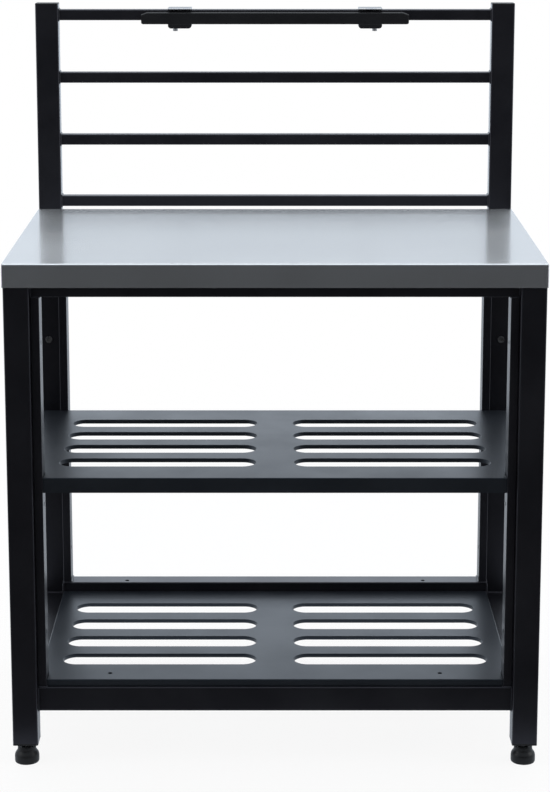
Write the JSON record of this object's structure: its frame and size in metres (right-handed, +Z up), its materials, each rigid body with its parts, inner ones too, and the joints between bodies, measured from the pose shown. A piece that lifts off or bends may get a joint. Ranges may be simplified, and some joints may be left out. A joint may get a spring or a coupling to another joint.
{
  "type": "modular outdoor kitchen",
  "caption": "Free-standing outdoor kitchen: stainless worktop on a black tube frame with adjustable feet, slotted shelves and a rear rack of bars with a clamp-on tool bar.",
  "frame": {"origin": "on the floor under the middle of the object", "axes": "+Z up, the front towards -Y, +X to the right seen from the front"},
  "size_m": [0.9, 0.6, 1.2635],
  "materials": {
    "black_frame": "satin powder coat",
    "black_shelf": "smooth powder coat",
    "stainless": "brushed",
    "zinc_steel": "zinc plated",
    "black_bar": "satin",
    "black_plastic": "matt"
  },
  "bodies": {
    "frame": {"leg_front_left": "black_frame", "leg_front_right": "black_frame", "leg_rear_left": "black_frame", "leg_rear_right": "black_frame", "upright_front_left": "black_frame", "upright_front_right": "black_frame", "upright_rear_left": "black_frame", "upright_rear_right": "black_frame", "top_rail_front": "black_frame", "top_rail_rear": "black_frame", "top_rail_left": "black_frame", "top_rail_right": "black_frame", "bottom_rail_front": "black_frame", "bottom_rail_rear": "black_frame", "bottom_rail_left": "black_frame", "bottom_rail_right": "black_frame", "rack_post_left": "black_frame", "rack_post_right": "black_frame", "rack_bar_top": "black_frame", "rack_bar_upper": "black_frame", "rack_bar_lower": "black_frame", "rack_bar_bottom": "black_frame", "rack_spacers": "black_frame", "mid_shelf": "black_shelf", "lower_shelf": "black_shelf", "worktop_pan": "stainless", "worktop_stiffener_left": "stainless", "worktop_stiffener_middle": "stainless", "worktop_stiffener_right": "stainless", "mid_shelf_bolts": "zinc_steel", "lower_shelf_bolts": "zinc_steel", "rack_bolts": "zinc_steel", "rack_insert_nuts": "zinc_steel", "foot_lock_nuts": "zinc_steel", "post_cap_left": "black_plastic", "post_cap_right": "black_plastic", "foot_insert_front_left": "black_plastic", "foot_insert_front_right": "black_plastic", "foot_insert_rear_left": "black_plastic", "foot_insert_rear_right": "black_plastic"},
    "foot_front_left": {"foot_stud_front_left": "zinc_steel", "foot_glide_front_left": "black_plastic"},
    "foot_front_right": {"foot_stud_front_right": "zinc_steel", "foot_glide_front_right": "black_plastic"},
    "foot_rear_left": {"foot_stud_rear_left": "zinc_steel", "foot_glide_rear_left": "black_plastic"},
    "foot_rear_right": {"foot_stud_rear_right": "zinc_steel", "foot_glide_rear_right": "black_plastic"},
    "tool_bar": {"tool_bar": "black_bar", "bar_clamp_left": "black_bar", "bar_clamp_right": "black_bar"},
    "clamp_screw_left": {"clamp_screw_left": "zinc_steel"},
    "clamp_screw_right": {"clamp_screw_right": "zinc_steel"}
  },
  "joints": [
    {"name": "foot_front_left_slide", "type": "slide", "parent": "frame", "child": "foot_front_left", "axis": [0, 0, -1], "range_m": [0, 0.025]},
    {"name": "foot_front_right_slide", "type": "slide", "parent": "frame", "child": "foot_front_right", "axis": [0, 0, -1], "range_m": [0, 0.025]},
    {"name": "foot_rear_left_slide", "type": "slide", "parent": "frame", "child": "foot_rear_left", "axis": [0, 0, -1], "range_m": [0, 0.025]},
    {"name": "foot_rear_right_slide", "type": "slide", "parent": "frame", "child": "foot_rear_right", "axis": [0, 0, -1], "range_m": [0, 0.025]},
    {"name": "tool_bar_slide", "type": "slide", "parent": "frame", "child": "tool_bar", "axis": [1, 0, 0], "range_m": [-0.15, 0.15]},
    {"name": "clamp_screw_left_turn", "type": "hinge", "parent": "tool_bar", "child": "clamp_screw_left", "pos_m": [-0.187, 0.281, 1.217], "axis": [0, 0, 1], "range_deg": [0, 720]},
    {"name": "clamp_screw_right_turn", "type": "hinge", "parent": "tool_bar", "child": "clamp_screw_right", "pos_m": [0.187, 0.281, 1.217], "axis": [0, 0, 1], "range_deg": [0, 720]}
  ]
}
